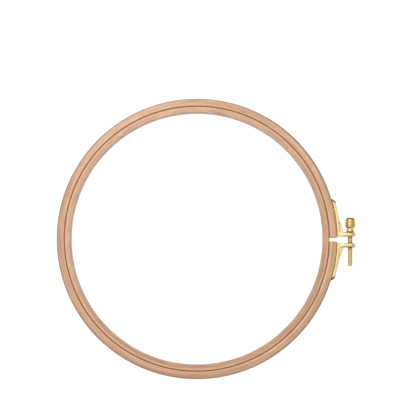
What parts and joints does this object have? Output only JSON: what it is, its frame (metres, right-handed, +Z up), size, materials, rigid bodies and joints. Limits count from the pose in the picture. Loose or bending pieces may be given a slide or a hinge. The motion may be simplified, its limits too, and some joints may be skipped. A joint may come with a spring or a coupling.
{
  "type": "embroidery hoop",
  "caption": "Round wooden embroidery hoop: plain inner ring inside a split outer ring, tightened by a brass thumb screw between two brackets.",
  "frame": {"origin": "on the surface that the hoop lies on, under the middle of its overall length and width; the middle of the rings is 6.9 mm towards -X", "axes": "+Z up through the opening of the rings, +X from the middle of the rings to the thumb screw, +Y from the lower bracket to the knurled head of the screw"},
  "size_m": [0.2152, 0.2014, 0.009],
  "materials": {
    "beech": "sanded bare beech, fine grain along the ring",
    "brass": "bright pressed brass",
    "pin_brass": "bright brass",
    "screw_brass": "turned and knurled brass"
  },
  "bodies": {
    "upper_half": {"outer_ring_upper_half": "beech", "upper_bracket": "brass", "upper_bracket_near_pin": "pin_brass", "upper_bracket_far_pin": "pin_brass"},
    "lower_half": {"outer_ring_lower_half": "beech", "lower_bracket": "brass", "lower_bracket_near_pin": "pin_brass", "lower_bracket_far_pin": "pin_brass"},
    "inner_ring": {"inner_ring": "beech"},
    "thumb_screw": {"thumb_screw": "screw_brass"}
  },
  "joints": [
    {"name": "ring_opening", "type": "hinge", "parent": "upper_half", "child": "lower_half", "pos_m": [-0.10483, 0, 0.0045], "axis": [0, 0, -1], "range_deg": [0, 2.75]},
    {"name": "screw_turn", "type": "hinge", "parent": "upper_half", "child": "thumb_screw", "pos_m": [0.10343, 0, 0.0045], "axis": [0, 1, 0], "range_deg": [0, 6000]},
    {"name": "inner_ring_lift", "type": "slide", "parent": "upper_half", "child": "inner_ring", "axis": [0, 0, 1], "range_m": [0, 0.03]}
  ],
  "couplings": [
    {"joint": "screw_turn", "follows": "ring_opening", "ratio": 2180.8}
  ]
}
